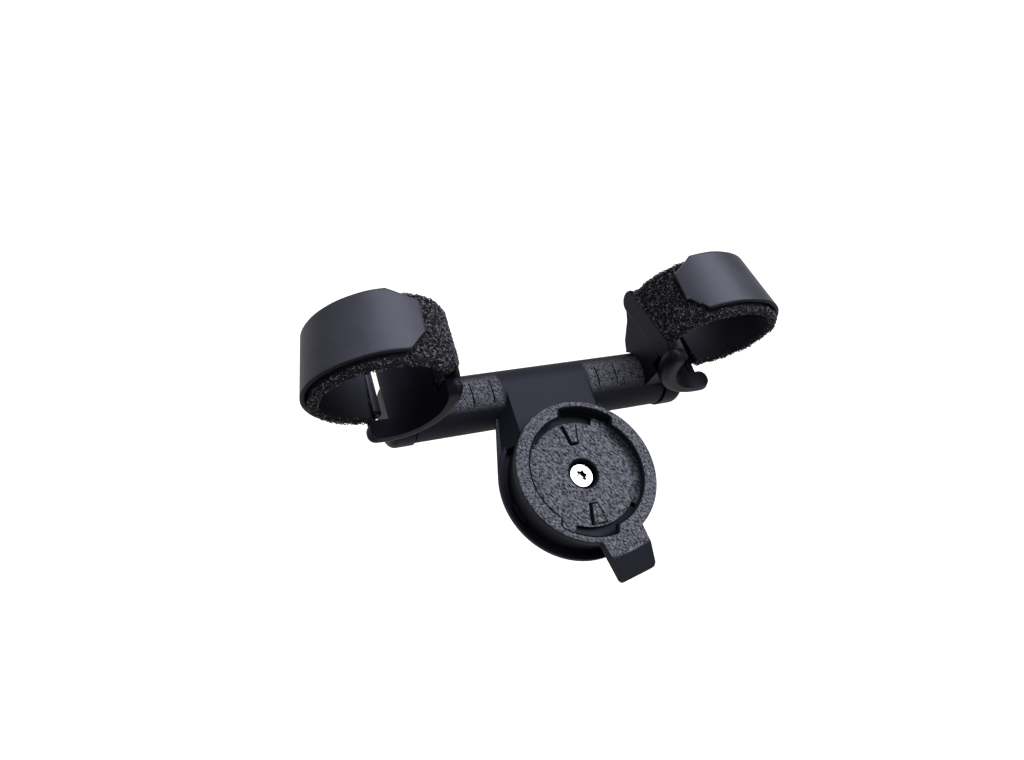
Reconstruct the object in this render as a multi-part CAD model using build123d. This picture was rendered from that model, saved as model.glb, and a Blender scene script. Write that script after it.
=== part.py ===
from build123d import *
import math
import os

# Strap-on mount for a handlebar computer, carried between two extension bars.
# Origin: on the crossbar's axis, in the middle of the arm. +X along the crossbar,
# +Y towards the rider, +Z up, square to the face that the computer locks onto. Millimetres.

# Running clearances between separate pieces
SLIP = 0.05
SEAT_GAP = 0.02
TAPE_GAP = 0.12

# Cutters run this far past the faces they open, and this far past the whole mount
OVER = 1.0
FAR = 90.0

# Extension bars that the saddles are moulded for, and how far apart they are
tube_r = 11.2
tube_x = 40.0

# Crossbar: a round moulded tube with a plain bore in each end
bar_r = 6.8
bar_inset = 7.5
bar_half = tube_x - bar_inset
tube_z = tube_r + bar_r
bar_edge = 0.5
bore_r = 4.5
bore_depth = 12.0
tick_first = 13.7
tick_pitch = 5.0
tick_count = 2
tick_width = 0.35
tick_depth = 0.3
tick_arc = (70.0, 118.0)

# Quarter-turn cradle: where it stands and its moulded ring
reach_y = 24.5
ring_top = 11.6
ring_r = 16.5
ring_edge = 0.45
ring_rim_h = 1.8
wall_r = 15.6
wall_t = 1.5
lip_r = 13.1
lip_t = 1.3
lip_edge = 0.18
lock_r = 15.0
lock_h = 1.2
floor_t = 1.6
notch_half = 6.2
notch_angle = 72.5
slot_inner_r = 12.2
slot_outer_r = 14.3
slot_depth = 1.0
slot_angle = -80.5
slot_sweep = 37.5
wedge_angle = 88.5
wedge_r = (7.1, 11.6)
wedge_half = (0.85, 1.75)
wedge_h = 0.6
wedge_edge = 0.15
wedge_groove_w = 0.26
wedge_groove_h = 0.35
hub_r = 5.2

# Finger tab on the cradle's ring
tab_angle = -79.6
tab_half = (5.4, 4.6)
tab_root_r = 15.4
tab_flat_r = 19.6
tab_tip_r = 24.4
tab_t = 2.2
tab_tip_drop = 2.3
tab_tip_t = 1.3
tab_corner = 1.1

# Keys that stop the cradle from turning in the dish
key_count = 4
key_first = 16.0
key_half = 2.2
key_out = 0.9
key_in = 0.5
key_h = 2.4

# Dish and arm, moulded with the crossbar
dish_r = 17.8
hull_edge_z = 2.6
hull_draft = 36.0
dish_top = 3.2
dish_bottom = -2.6
rim_w = 0.8
rim_h = 0.6
rim_root = 0.5
ring_moat_w = 0.4
pocket_floor = 1.8
arm_root_half = 12.0
arm_top_half = 10.4
arm_run = 14.0
arm_flare = 2.6

# M3 screw and nut that hold the cradle
head_r = 2.75
head_h = 1.7
head_edge = 0.12
head_top = 7.8
counterbore_r = 3.3
shank_r = 1.5
shank_l = 9.2
socket_r = 1.36
socket_lobe_r = 0.34
socket_lobes = 6
socket_depth = 1.0
nut_flats = 5.5
nut_h = 2.4

# Saddle: a curved shell with a thick rib at the front and the rear, each leaned to match
shell_t = 1.4
shell_arc = (196.0, 264.0)
shell_y = (-4.0, 17.6)
rib_t = 3.5
rib_in = 1.0
rib_round = 1.7
front_rib_edge = 1.9
front_rib_arc = (164.0, 287.0)
front_rib_y = -4.4
front_rib_w = 4.3
front_rib_lean = 6.0
rear_rib_arc = (199.0, 284.0)
rear_rib_y = 16.8
rear_rib_w = 2.2
rear_rib_round = 1.0
rear_rib_edge = 0.5
web_x = tube_x - tube_r - rib_t + rib_in
web_skin_t = 0.7
web_skin_lap = 0.5
web_inset = 1.5
web_outline = ((5.5, 2.6), (9.1, 4.6), (12.4, 8.7), (17.0, 11.6))
web_front = front_rib_y
web_top = tube_z - 6.0
collar_r = 7.2
collar_l = 5.6
collar_round = 1.8
bar_gap = 0.3
plug_l = 10.0

# Slanted keeper that the pile band comes out from behind
keeper_x = tube_x - tube_r - 3.2
keeper_t = 1.4
keeper_h = 5.8
keeper_l = 22.6
keeper_mid = (6.9, tube_z - 2.05)
keeper_slope = 18.3
keeper_round = 0.6

# Lower keeper, where the strap turns back on itself
turn_x = tube_x + 1.9
turn_w = 2.0
turn_t = 1.2
turn_round = 0.55
turn_lift = 0.1

# Strap: a pile band that leaves the saddle and a hook tail that comes back over it
band_w = 15.8
band_t = 2.0
band_y = {"left": -3.2, "right": -0.9}
band_inner_x = tube_x - tube_r
band_root = 194.0
band_neck = 152.0
neck_y = (-1.2, 15.5)
tail_w = 14.4
tail_t = 1.2
tail_y = {"left": -1.3, "right": 0.9}
tail_sag = 1.85
loop_a = tube_r + band_t + 1.25
loop_b = tube_r + band_t
loop_shift = -0.65
flare = {"left": 1.4, "right": 2.25}

# Cut end of each hook tail: where it ends, where its rear and front chamfers
# start (degrees round the extension bar), and how far each one cuts in from the edge
tail_end = {"left": 115.0, "right": 134.0}
tail_rear_chamfer = {"left": (88.0, 3.2), "right": (114.0, 2.8)}
tail_front_chamfer = {"left": (99.0, 4.2), "right": (121.0, 4.2)}

SIDES = ("left", "right")


def polar(r, degrees, cx=0.0, cy=0.0):
    a = math.radians(degrees)
    return (cx + r * math.cos(a), cy + r * math.sin(a))


def arc_band(r0, r1, a0, a1, cx=0.0, cy=0.0):
    """Flat ring sector between two radii, from angle a0 to a1 in degrees."""
    mid = (a0 + a1) / 2
    outline = Wire([
        ThreePointArc(polar(r1, a0, cx, cy), polar(r1, mid, cx, cy), polar(r1, a1, cx, cy)),
        Line(polar(r1, a1, cx, cy), polar(r0, a1, cx, cy)),
        ThreePointArc(polar(r0, a1, cx, cy), polar(r0, mid, cx, cy), polar(r0, a0, cx, cy)),
        Line(polar(r0, a0, cx, cy), polar(r1, a0, cx, cy)),
    ])
    return Face(outline)


def across(y0, y1, sketch):
    """A profile drawn in X and Z, extruded along Y from y0 to y1."""
    return extrude(Plane.XZ.offset(-y0) * sketch, y1 - y0, dir=(0, 1, 0))


def upright(sketch, z0, z1):
    """A profile drawn in X and Y, extruded upwards from z0 to z1."""
    return extrude(Pos(0, 0, z0) * sketch, z1 - z0, dir=(0, 0, 1))


def lying_rod(r, x0, x1):
    """A round rod along the crossbar's axis."""
    return extrude(Plane.YZ.offset(x0) * Circle(r), x1 - x0)


def disc(r, z0, z1):
    """A round plate about the cradle's axis."""
    return Pos(0, -reach_y, z0) * extrude(Circle(r), z1 - z0)


# Heights and radii that follow from those sizes
floor_top = ring_top - lip_t - lock_h
floor_bottom = floor_top - floor_t
head_seat = head_top - head_h
nut_top = dish_bottom + nut_h
fold_r = (TAPE_GAP + tail_sag) / 2
fold_z = tube_z - loop_b - fold_r
fold_x = turn_x - (turn_w - turn_t) / 2

# Where the band stops short of the fold and the tail runs into it, in degrees round the bar
band_fold = -math.degrees(math.acos((fold_x + TAPE_GAP - tube_x) / tube_r))
tail_root = -math.degrees(math.acos((fold_x - turn_t / 2 - tube_x) / loop_b))


def crossbar_tube():
    bar = lying_rod(bar_r, -bar_half, bar_half)
    bar = chamfer(bar.edges().filter_by(GeomType.CIRCLE), bar_edge)
    for side in (-1, 1):
        end = side * bar_half
        bar -= lying_rod(bore_r, min(end, end - side * bore_depth), max(end, end - side * bore_depth))
    for side in (-1, 1):
        for k in range(tick_count):
            bar -= trim_tick(side * (tick_first + k * tick_pitch))
    return bar


def trim_tick(x):
    groove = arc_band(bar_r - tick_depth, bar_r + 1, *tick_arc)
    return extrude(Plane.YZ.offset(x - tick_width / 2) * groove, tick_width)


def arm_outline():
    """Outline in plan: straight sides from the crossbar that run into the dish as tangents."""
    swing = math.acos(dish_r / math.hypot(arm_root_half, reach_y))
    touch = math.degrees(math.atan2(reach_y, arm_root_half) - swing)
    right, left = polar(dish_r, touch, 0, -reach_y), polar(dish_r, 180 - touch, 0, -reach_y)
    return Face(Wire([
        Line((arm_root_half, 0), (-arm_root_half, 0)),
        Line((-arm_root_half, 0), left),
        ThreePointArc(left, (0, -reach_y - dish_r), right),
        Line(right, (arm_root_half, 0)),
    ]))


def arm_and_dish():
    plan = arm_outline()
    body = upright(plan, hull_edge_z, dish_top)
    body += extrude(Pos(0, 0, hull_edge_z) * plan, hull_edge_z - dish_bottom, dir=(0, 0, -1), taper=hull_draft)
    foot = Plane.XY.offset(dish_top) * Polygon(
        (-arm_root_half, 0), (arm_root_half, 0),
        (arm_root_half + arm_flare, -arm_run), (-arm_root_half - arm_flare, -arm_run), align=None)
    top = Plane.XY.offset(bar_r) * Polygon(
        (-arm_top_half, 0), (arm_top_half, 0), (arm_top_half, -arm_run), (-arm_top_half, -arm_run), align=None)
    return body + loft([foot.face(), top.face()])


def cradle_recess():
    recess = disc(wall_r + SEAT_GAP, pocket_floor, ring_top + OVER)
    recess += disc(ring_r + ring_moat_w, dish_top - rim_h, dish_top + SEAT_GAP) - disc(wall_r, 0, dish_top + OVER)
    for k in range(key_count):
        recess += key_lug(k, SLIP, pocket_floor, dish_top + OVER)
    return recess


def key_lug(k, grow, z0, z1):
    lug = Pos(wall_r, 0, z0) * extrude(
        Rectangle(2 * (key_out + grow), 2 * (key_half + grow)), z1 - z0)
    return Pos(0, -reach_y, 0) * Rot(0, 0, key_first + k * 360 / key_count) * lug


def crossbar():
    body = crossbar_tube() + arm_and_dish()
    body += disc(dish_r, dish_top - rim_root, dish_top + rim_h) - disc(dish_r - rim_w, 0, ring_top)
    body -= cradle_recess()
    body -= disc(shank_r + SLIP, dish_bottom - OVER, pocket_floor + OVER)
    nut_seat = RegularPolygon(nut_flats / 2 + SLIP, 6, major_radius=False)
    body -= Pos(0, -reach_y, dish_bottom - OVER) * extrude(nut_seat, nut_h + OVER)
    return body


def ring_blank():
    """The cradle's wall, its wider rim and the finger tab, still closed on top."""
    rim = disc(ring_r, ring_top - ring_rim_h, ring_top)
    rim = fillet(rim.edges().filter_by(GeomType.CIRCLE).sort_by(Axis.Z)[-1], ring_edge)
    wall = disc(wall_r, pocket_floor + SEAT_GAP, ring_top - ring_rim_h)
    return rim + wall + finger_tab()


def cradle():
    body = ring_blank()
    body -= disc(wall_r - wall_t, pocket_floor - OVER, floor_bottom)
    body += disc(hub_r, pocket_floor + SEAT_GAP, floor_bottom)
    body -= disc(lip_r, floor_top, ring_top + OVER)
    body -= disc(lock_r, floor_top, floor_top + lock_h)
    body -= entry_notches()
    body -= Pos(0, -reach_y, ring_top - lip_edge) * Cone(
        lip_r, lip_r + lip_edge, lip_edge, align=(Align.CENTER, Align.CENTER, Align.MIN))
    for turn in (0, 180):
        slot = arc_band(slot_inner_r, slot_outer_r, slot_angle - slot_sweep, slot_angle + slot_sweep)
        body -= Pos(0, -reach_y, floor_top - slot_depth) * Rot(0, 0, turn) * extrude(slot, slot_depth + lock_h / 2)
        body -= lock_wedge(wedge_angle + turn, wedge_groove_w, -wedge_groove_h)
        body += lock_wedge(wedge_angle + turn, 0, wedge_h)
    for k in range(key_count):
        body += key_lug(k, 0, pocket_floor + SEAT_GAP, pocket_floor + key_h) - disc(wall_r - key_in, 0, ring_top)
    body -= disc(counterbore_r, head_seat, ring_top)
    body -= disc(shank_r + SLIP, 0, ring_top)
    return body


def entry_notches():
    cut = disc(lock_r, floor_top, ring_top + OVER)
    slab = Rot(0, 0, notch_angle) * Rectangle(3 * lock_r, 2 * notch_half)
    return cut & (Pos(0, -reach_y, 0) * extrude(slab, FAR))


def lock_wedge(angle, grow, height):
    """Tapered detent on the floor; with a growth and a negative height, the groove round it."""
    (r0, r1), (h0, h1) = wedge_r, wedge_half
    r0, h0, h1 = r0 - grow, h0 + grow, h1 + grow
    plan = Polygon((r0, -h0), (r1, -h1), (r1, h1), (r0, h0), align=None)
    block = extrude(plan, wedge_groove_h + max(height, 0), dir=(0, 0, 1))
    if height > 0:
        block = chamfer(block.edges().group_by(Axis.Z)[-1], wedge_edge)
    return Pos(0, -reach_y, floor_top - wedge_groove_h) * Rot(0, 0, angle) * block


def finger_tab():
    """A flat root level with the ring, then a tongue that slopes down to a rounded tip."""
    under = ring_top - tab_t
    side = Polyline((tab_root_r, ring_top), (tab_flat_r, ring_top), (tab_tip_r, ring_top - tab_tip_drop),
                    (tab_tip_r, ring_top - tab_tip_drop - tab_tip_t), (tab_root_r, under), close=True)
    slab = extrude(Plane.XZ * make_face(side), 2 * tab_half[0], both=True)
    root = tab_root_r - OVER
    plan = Polygon((root, -tab_half[0]), (tab_tip_r, -tab_half[1]),
                   (tab_tip_r, tab_half[1]), (root, tab_half[0]), align=None)
    plan = fillet(plan.vertices().sort_by(Axis.X)[-2:], tab_corner)
    tongue = slab & extrude(plan, 2 * ring_top)
    return Pos(0, -reach_y, 0) * Rot(0, 0, tab_angle) * tongue


def cradle_screw():
    head = disc(head_r, head_seat, head_top)
    head = chamfer(head.edges().filter_by(GeomType.CIRCLE).sort_by(Axis.Z)[-1], head_edge)
    shank = disc(shank_r, head_seat - shank_l, head_seat)
    star = Circle(socket_r - socket_lobe_r)
    for k in range(socket_lobes):
        star += Rot(0, 0, k * 360 / socket_lobes) * Pos(socket_r - socket_lobe_r, 0) * Circle(socket_lobe_r)
    recess = Pos(0, -reach_y, head_top - socket_depth) * extrude(star, socket_depth + OVER)
    return head + shank - recess


def cradle_nut():
    hexagon = RegularPolygon(nut_flats / 2, 6, major_radius=False)
    nut = Pos(0, -reach_y, dish_bottom) * extrude(hexagon, nut_h)
    return nut - disc(shank_r + SEAT_GAP, dish_bottom - OVER, nut_top + OVER)


def extension_bar(gap=0.0):
    """The space that the rider's extension bar fills."""
    return across(-FAR, FAR, Pos(tube_x, tube_z) * Circle(tube_r + gap))


def sector(r0, r1, arc, y0, y1):
    """Piece of a tube about the extension bar."""
    return across(y0, y1, arc_band(r0, r1, arc[0], arc[1], tube_x, tube_z))


def rib(arc, y_mid, width, lean, soft, edge):
    """Thick rib that hugs the extension bar; its ends and its outer edges are rounded off."""
    body = across(-width / 2, width / 2, arc_band(tube_r - rib_in, tube_r + rib_t, arc[0], arc[1]))
    ends = body.edges().filter_by(Axis.Y).sort_by(lambda e: e.center().length)[-2:]
    body = fillet(ends, soft)
    outer = [e for e in body.edges() if not e.is_closed and on_outer_face(e)]
    body = fillet(outer, edge)
    return Pos(tube_x, y_mid, tube_z) * Rot(-lean, 0, 0) * body


def on_outer_face(edge):
    """True for the curved edges that run along the outside of a rib drawn about Y."""
    level = abs(edge.vertices()[0].Y - edge.vertices()[-1].Y) < SEAT_GAP
    return level and all(math.hypot(edge.position_at(t).X, edge.position_at(t).Z) > tube_r + SLIP for t in (0.1, 0.5, 0.9))


def keeper_shape(grow=0.0):
    """Slanted bar seen from the side, as a flat shape in Y and Z."""
    bar = RectangleRounded(keeper_l + 2 * grow, keeper_h + 2 * grow, keeper_h / 2 - 0.1 + grow)
    return Plane.YZ * Pos(*keeper_mid) * Rot(0, 0, -keeper_slope) * bar


def keeper():
    bar = extrude(Pos(keeper_x, 0, 0) * keeper_shape(), keeper_t, dir=(1, 0, 0))
    return fillet(bar.edges(), keeper_round)


def saddle_web():
    """Wall that joins the curved shell to the collar and stands over the bar's end."""
    plan = Polygon((0, 0), *web_outline, (web_outline[-1][0], web_top), (web_front, web_top),
                   (web_front, web_outline[0][1]), align=None)
    wall = extrude(Plane.YZ.offset(web_x) * plan, bar_half + collar_l - web_inset - web_x, dir=(1, 0, 0))
    y0, z0 = keeper_mid
    rise = math.tan(math.radians(keeper_slope))
    front, rear = neck_y[0] - web_skin_lap, web_outline[-1][0]
    skin = Polygon((front, web_top - OVER), (rear, web_top - OVER),
                   (rear, z0 + (y0 - rear) * rise), (front, z0 + (y0 - front) * rise), align=None)
    return wall + extrude(Plane.YZ.offset(web_x) * skin, web_skin_t, dir=(1, 0, 0))


def lower_keeper():
    shape = RectangleRounded(turn_w, turn_t, turn_round)
    return across(front_rib_y, rear_rib_y, Pos(turn_x, fold_z + turn_lift) * shape)


def saddle():
    body = sector(tube_r, tube_r + shell_t, shell_arc, *shell_y)
    body += saddle_web()
    collar = lying_rod(collar_r, bar_half + SLIP, bar_half + collar_l)
    body += fillet(collar.edges().filter_by(GeomType.CIRCLE).sort_by(Axis.X)[-1], collar_round)
    body += rib(front_rib_arc, front_rib_y, front_rib_w, front_rib_lean, rib_round, front_rib_edge)
    body += rib(rear_rib_arc, rear_rib_y, rear_rib_w, 0, rear_rib_round, rear_rib_edge)
    body += keeper()
    body += lower_keeper()
    body -= lying_rod(bar_r + bar_gap, 0, bar_half + SLIP)
    body += lying_rod(bore_r - SLIP, bar_half - plug_l, bar_half + OVER)
    return body - extension_bar()


def egg(y, x0, outer_a, inner_a, top_b, low_b):
    """Closed curve of four quarter ellipses about (x0, tube_z), in the plane at y."""
    quarters = []
    for k, (rx, rz) in enumerate(((outer_a, top_b), (inner_a, top_b), (inner_a, low_b), (outer_a, low_b))):
        quarters.append(EllipticalCenterArc((x0, tube_z), rx, rz, start_angle=90 * k, arc_size=90))
    return Plane.XZ.offset(-y) * Face(Wire(quarters))


def strap_loop(spread_to, grow, y0, width, sag=0.0, inner_x=None):
    """Solid loop about the extension bar; it widens outwards towards the front."""
    faces = []
    for y, spread in ((y0, spread_to), (y0 + width, 0.0)):
        x0 = tube_x + loop_shift + spread
        a = loop_a + grow + spread
        inner_a = a if inner_x is None else x0 - inner_x
        faces.append(egg(y, x0, a, inner_a, loop_b + grow, loop_b + grow + sag))
    return loft(faces)


def wedge_block(a0, a1, y0, y1):
    """Wedge-shaped block about the extension bar that keeps angles a0 to a1."""
    rim = [polar(FAR, a0 + (a1 - a0) * k / 6, tube_x, tube_z) for k in range(7)]
    return across(y0, y1, Polygon((tube_x, tube_z), *rim, align=None))


def pile_band(side):
    y0 = band_y[side]
    y1 = y0 + band_w
    ring = strap_loop(flare[side], 0, y0, band_w)
    ring -= strap_loop(flare[side], -band_t, y0, band_w, inner_x=band_inner_x)
    keep = wedge_block(band_fold, band_neck, y0 - OVER, y1 + OVER)
    keep += wedge_block(band_neck - 1, band_root, max(y0, neck_y[0]), min(y1, neck_y[1]))
    band = ring & keep
    behind = keeper_x + keeper_t + TAPE_GAP
    squeezed = extrude(keeper_shape(TAPE_GAP), behind, dir=(1, 0, 0))
    below = upright(Rectangle(2 * behind, FAR), 0, keeper_mid[1])
    return band - squeezed - below - extension_bar(SLIP)


def chamfer_cut(y_edge, depth, start, end):
    """Triangle in plan that takes one corner off a hook tail's end."""
    r = loop_b + tail_t
    x_start, x_end = tube_x + r * math.cos(math.radians(start)), tube_x + r * math.cos(math.radians(end))
    sign = math.copysign(1, depth)
    steep = depth / (x_end - x_start)
    far_x = x_end - tube_r
    outside = y_edge - sign * OVER
    corner = Polygon((x_start, y_edge), (far_x, y_edge + steep * (far_x - x_start)),
                     (far_x, outside), (x_start, outside), align=None)
    return upright(corner, tube_z, tube_z + FAR)


def turn_back(y0):
    """The strap's fold round the lower keeper."""
    half = arc_band(fold_r, fold_r + tail_t, 90, 270, fold_x, fold_z)
    return across(y0, y0 + tail_w, half)


def hook_tail(side):
    y0 = tail_y[side]
    y1 = y0 + tail_w
    ring = strap_loop(flare[side], TAPE_GAP + tail_t, y0, tail_w, tail_sag)
    ring -= strap_loop(flare[side], TAPE_GAP, y0, tail_w, tail_sag)
    tail = ring & wedge_block(tail_root, tail_end[side], y0 - OVER, y1 + OVER)
    tail += turn_back(y0)
    start, depth = tail_rear_chamfer[side]
    tail -= chamfer_cut(y1, -depth, start, tail_end[side])
    start, depth = tail_front_chamfer[side]
    tail -= chamfer_cut(y0, depth, start, tail_end[side])
    return tail


def mirrored(side, body):
    return body if side == "right" else mirror(body, about=Plane.YZ)


def write(name, body):
    body.label = name
    export_step(body, os.path.join("parts", name + ".step"))


def main():
    os.makedirs("parts", exist_ok=True)
    write("crossbar", crossbar())
    write("cradle", cradle())
    write("cradle_screw", cradle_screw())
    write("cradle_nut", cradle_nut())
    for side in SIDES:
        write(side + "_saddle", mirrored(side, saddle()))
        write(side + "_pile_band", mirrored(side, pile_band(side)))
        write(side + "_hook_tail", mirrored(side, hook_tail(side)))


main()
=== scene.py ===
# %% [markdown]
# # A strap-on mount for a bike computer
# The hard pieces come from the CAD model: the crossbar with its arm and dish, the cradle that
# the computer turns and locks into, its screw and nut, and the two saddles. They could be
# modelled again here, but their shapes are exact already, so they only get their finishes. The
# two hook and loop straps are cloth, which plain solids show poorly, so this file makes them
# anew from the sizes of the model's own loops.

# %% Load the frame
import math

import bmesh
import bpy
from mathutils import Matrix, Vector, noise


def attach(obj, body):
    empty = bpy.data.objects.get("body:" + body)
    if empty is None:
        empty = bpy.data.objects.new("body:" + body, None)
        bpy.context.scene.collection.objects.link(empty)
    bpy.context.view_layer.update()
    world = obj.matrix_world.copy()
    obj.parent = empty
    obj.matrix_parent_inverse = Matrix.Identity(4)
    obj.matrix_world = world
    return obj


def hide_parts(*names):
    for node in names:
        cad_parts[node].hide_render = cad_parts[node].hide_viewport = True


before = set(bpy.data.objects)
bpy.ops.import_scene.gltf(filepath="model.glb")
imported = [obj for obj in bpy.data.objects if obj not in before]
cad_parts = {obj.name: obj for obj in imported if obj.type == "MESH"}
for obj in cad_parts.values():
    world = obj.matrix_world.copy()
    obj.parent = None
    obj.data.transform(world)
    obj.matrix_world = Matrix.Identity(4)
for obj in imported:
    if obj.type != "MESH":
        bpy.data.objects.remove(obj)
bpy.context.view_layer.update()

MM = 0.001

# %% [markdown]
# ## Camera
# The photograph looks down on the mount from the front left, about 56 degrees above level, with
# a slight roll. A camera can be placed by eye, but a few degrees already show beside a
# photograph. So the directions and the place of this one were worked out from straight and round
# edges of the mount whose sizes are known. The focal length came out in pixels of the picture,
# and Blender wants it in millimetres of sensor.

# %% Camera
PHOTO_WIDTH_PX = 1024
FOCAL_LENGTH_PX = 801.3
SENSOR_MM = 36.0
NEAREST_MM = 5
LENS_AT_MM = (-80.5, -71.2, 161.0)
VIEW_RIGHT = Vector((0.9116, -0.2916, 0.2896))
VIEW_UP = Vector((0.1292, 0.8723, 0.4717))

scene = bpy.context.scene
scene.view_settings.view_transform = "Standard"
lens = bpy.data.cameras.new("photo_camera")
lens.sensor_width = SENSOR_MM
lens.sensor_fit = "HORIZONTAL"
lens.lens = SENSOR_MM * FOCAL_LENGTH_PX / PHOTO_WIDTH_PX
lens.clip_start = NEAREST_MM * MM
camera = bpy.data.objects.new("photo_camera", lens)
scene.collection.objects.link(camera)
right = VIEW_RIGHT.normalized()
up = (VIEW_UP - right * right.dot(VIEW_UP)).normalized()
turn = Matrix((right, up, right.cross(up))).transposed().to_4x4()
camera.matrix_world = Matrix.Translation(Vector(LENS_AT_MM) * MM) @ turn
scene.camera = camera
print("lens", round(lens.lens, 2), "mm")

# %% [markdown]
# ## Colours
# Colours are written as they look on a screen. The renderer adds up light, and light is not
# spaced as screen values are, so one function turns each colour into linear light. Typing linear
# numbers by hand would work too, but nobody can read them.

# %% Colours
def linear(hex_colour):
    """'#14141f' as linear red, green, blue and an alpha of 1."""
    channels = [int(hex_colour[k:k + 2], 16) / 255 for k in (1, 3, 5)]
    return tuple(c / 12.92 if c <= 0.04045 else ((c + 0.055) / 1.055) ** 2.4
                 for c in channels) + (1.0,)


print("a screen's middle grey is", round(linear("#808080")[0], 3), "in linear light")

# %% [markdown]
# ## Nodes
# A finish could be a painted picture, but a picture has seams and a best distance, and a tree of
# nodes has neither. Every finish below is such a tree. One helper adds any node with its
# settings and with whatever is joined to it, so that a tree reads from top to bottom.

# %% Helpers for node trees
def add(tree, kind, inputs=None, **settings):
    """Adds a node. A socket given as an input is linked, and anything else is its value."""
    new = tree.nodes.new(kind)
    for name, value in settings.items():
        setattr(new, name, value)
    for key, value in (inputs or {}).items():
        if isinstance(value, bpy.types.NodeSocket):
            tree.links.new(value, new.inputs[key])
        else:
            new.inputs[key].default_value = value
    return new


def blank_material(name):
    """A material with an empty tree; returns it with its tree and its output node."""
    material = bpy.data.materials.new(name)
    material.use_nodes = True
    tree = material.node_tree
    tree.nodes.clear()
    return material, tree, add(tree, "ShaderNodeOutputMaterial")


print("helpers:", add.__name__, blank_material.__name__)

# %% [markdown]
# ## Sizes of patterns
# A pattern looks right only at its real size, so no scale is guessed: each is worked out from a
# width in millimetres. A noise has one cell in a unit divided by its scale. A wave repeats 20
# times in 2 pi units divided by its scale.

# %% Sizes of patterns
WAVE_REPEAT = 2 * math.pi / 20


def cells(size_mm):
    """Scale at which a noise has cells of size_mm, on coordinates in metres."""
    return 1 / (size_mm * MM)


def waves(spacing_mm):
    """Scale at which a wave's crests are spacing_mm apart, on coordinates in millimetres."""
    return WAVE_REPEAT / spacing_mm


print("cells of 0.2 mm need a scale of", round(cells(0.2)))

# %% [markdown]
# ## Masks
# The crossbar and the cradle are not the same all over: some places are grained, some polished,
# and sunk edges show as dark lines. Separate materials on separate faces would be the usual way.
# The CAD faces are small loose triangles, so reading the position is simpler here. A mask is a
# product of ramps, and each ramp goes from 0 to 1 between two measures.

# %% Masks
def measured(tree, axis_y_mm, across):
    """Place in millimetres from an axis, and the distance from it. across leaves its own
    direction out with a 0."""
    place = add(tree, "ShaderNodeTexCoord").outputs["Object"]
    centred = add(tree, "ShaderNodeVectorMath", {0: place, 1: (1 / MM,) * 3, 2: (0, -axis_y_mm, 0)},
                  operation="MULTIPLY_ADD").outputs["Vector"]
    flat = add(tree, "ShaderNodeVectorMath", {0: centred, 1: across}, operation="MULTIPLY")
    radius = add(tree, "ShaderNodeVectorMath", {0: flat.outputs["Vector"]}, operation="LENGTH")
    return centred, radius.outputs["Value"]


def ramps(tree, *limits):
    """Product of ramps, each given as (value, where it is 0, where it is 1)."""
    product = 1.0
    for value, zero, one in limits:
        ramp = add(tree, "ShaderNodeMapRange", {"Value": value, "From Min": zero, "From Max": one})
        product = add(tree, "ShaderNodeMath", {0: product, 1: ramp.outputs["Result"]},
                      operation="MULTIPLY").outputs[0]
    return product


print("masks:", measured.__name__, ramps.__name__)

# %% [markdown]
# ## The crossbar's grain and trim marks
# On the bar the grain, with its painted highlight, is drawn on the crown on both sides of the
# arm and round the two trim marks, and the arm, the dish and the bar's flanks are left smooth.
# The marks are shallow grooves whose insides get painted shade. Both masks are made from the
# distance along the bar, the distance from its axis and the height.

# %% Masks of the crossbar
# Each pair: where a ramp is 0 and where it is 1. The bar's own radius is 6.8 mm.
OFF_THE_ARM_MM = (11.0, 11.8)
ABOVE_SKIN_MM = (7.1, 6.9)
CROWN_HEIGHT_MM = (5.2, 6.4)
BELOW_SKIN_MM = (6.77, 6.7)


def bar_masks(tree):
    """Where the bar is grained, and the insides of its trim marks, which get painted shade."""
    at, radius = measured(tree, 0.0, (0, 1, 1))
    x, _, height = add(tree, "ShaderNodeSeparateXYZ", {"Vector": at}).outputs
    along = add(tree, "ShaderNodeMath", {0: x}, operation="ABSOLUTE").outputs[0]
    off_the_arm = (along, *OFF_THE_ARM_MM)
    grain = ramps(tree, off_the_arm, (radius, *ABOVE_SKIN_MM), (height, *CROWN_HEIGHT_MM))
    return grain, ramps(tree, off_the_arm, (radius, *BELOW_SKIN_MM))


print("grain from", max(OFF_THE_ARM_MM), "mm either side of the arm's middle")

# %% [markdown]
# ## The cradle's grain and edges
# The cradle's grain, with its painted highlight, is drawn on what faces up: the ring's top, the
# floor and the tab's root. The slots, the walls and the tab's slope are left smooth. Its edges
# are what the eye reads it by: thin dark lines round the hole, behind and along the lip, in both
# entry notches and round both wedges. These lines are painted shade, the dark of shaded rims,
# walls and grooves put into the colour. A Bevel node can look for edges, but it is slow and finds
# these shallow ones poorly, so each line is drawn where the CAD model has its edge. The lines are
# 0.3 to 0.6 mm wide, about as wide as a rounded edge with its shadow.

# %% Helpers for lines
SIDE_FADE_MM = 0.08
END_FADE_MM = 0.1


def between(value, low_mm, high_mm):
    """Two ramps that leave a line between two lengths."""
    return (value, low_mm - SIDE_FADE_MM, low_mm), (value, high_mm + SIDE_FADE_MM, high_mm)


def up_to(value, end_mm):
    """A ramp that stops a line past a length."""
    return value, end_mm + END_FADE_MM, end_mm


def along_and_across(tree, at, degrees):
    """Distances along a line through the cradle's axis and across it, on both sides of it."""
    turned = add(tree, "ShaderNodeMapping",
                 {"Vector": at, "Rotation": (0, 0, -math.radians(degrees))})
    parts = add(tree, "ShaderNodeSeparateXYZ", {"Vector": turned.outputs["Vector"]}).outputs
    return [add(tree, "ShaderNodeMath", {0: parts[axis]}, operation="ABSOLUTE").outputs[0]
            for axis in "XY"]


print("a line fades out over", SIDE_FADE_MM, "mm")

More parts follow.
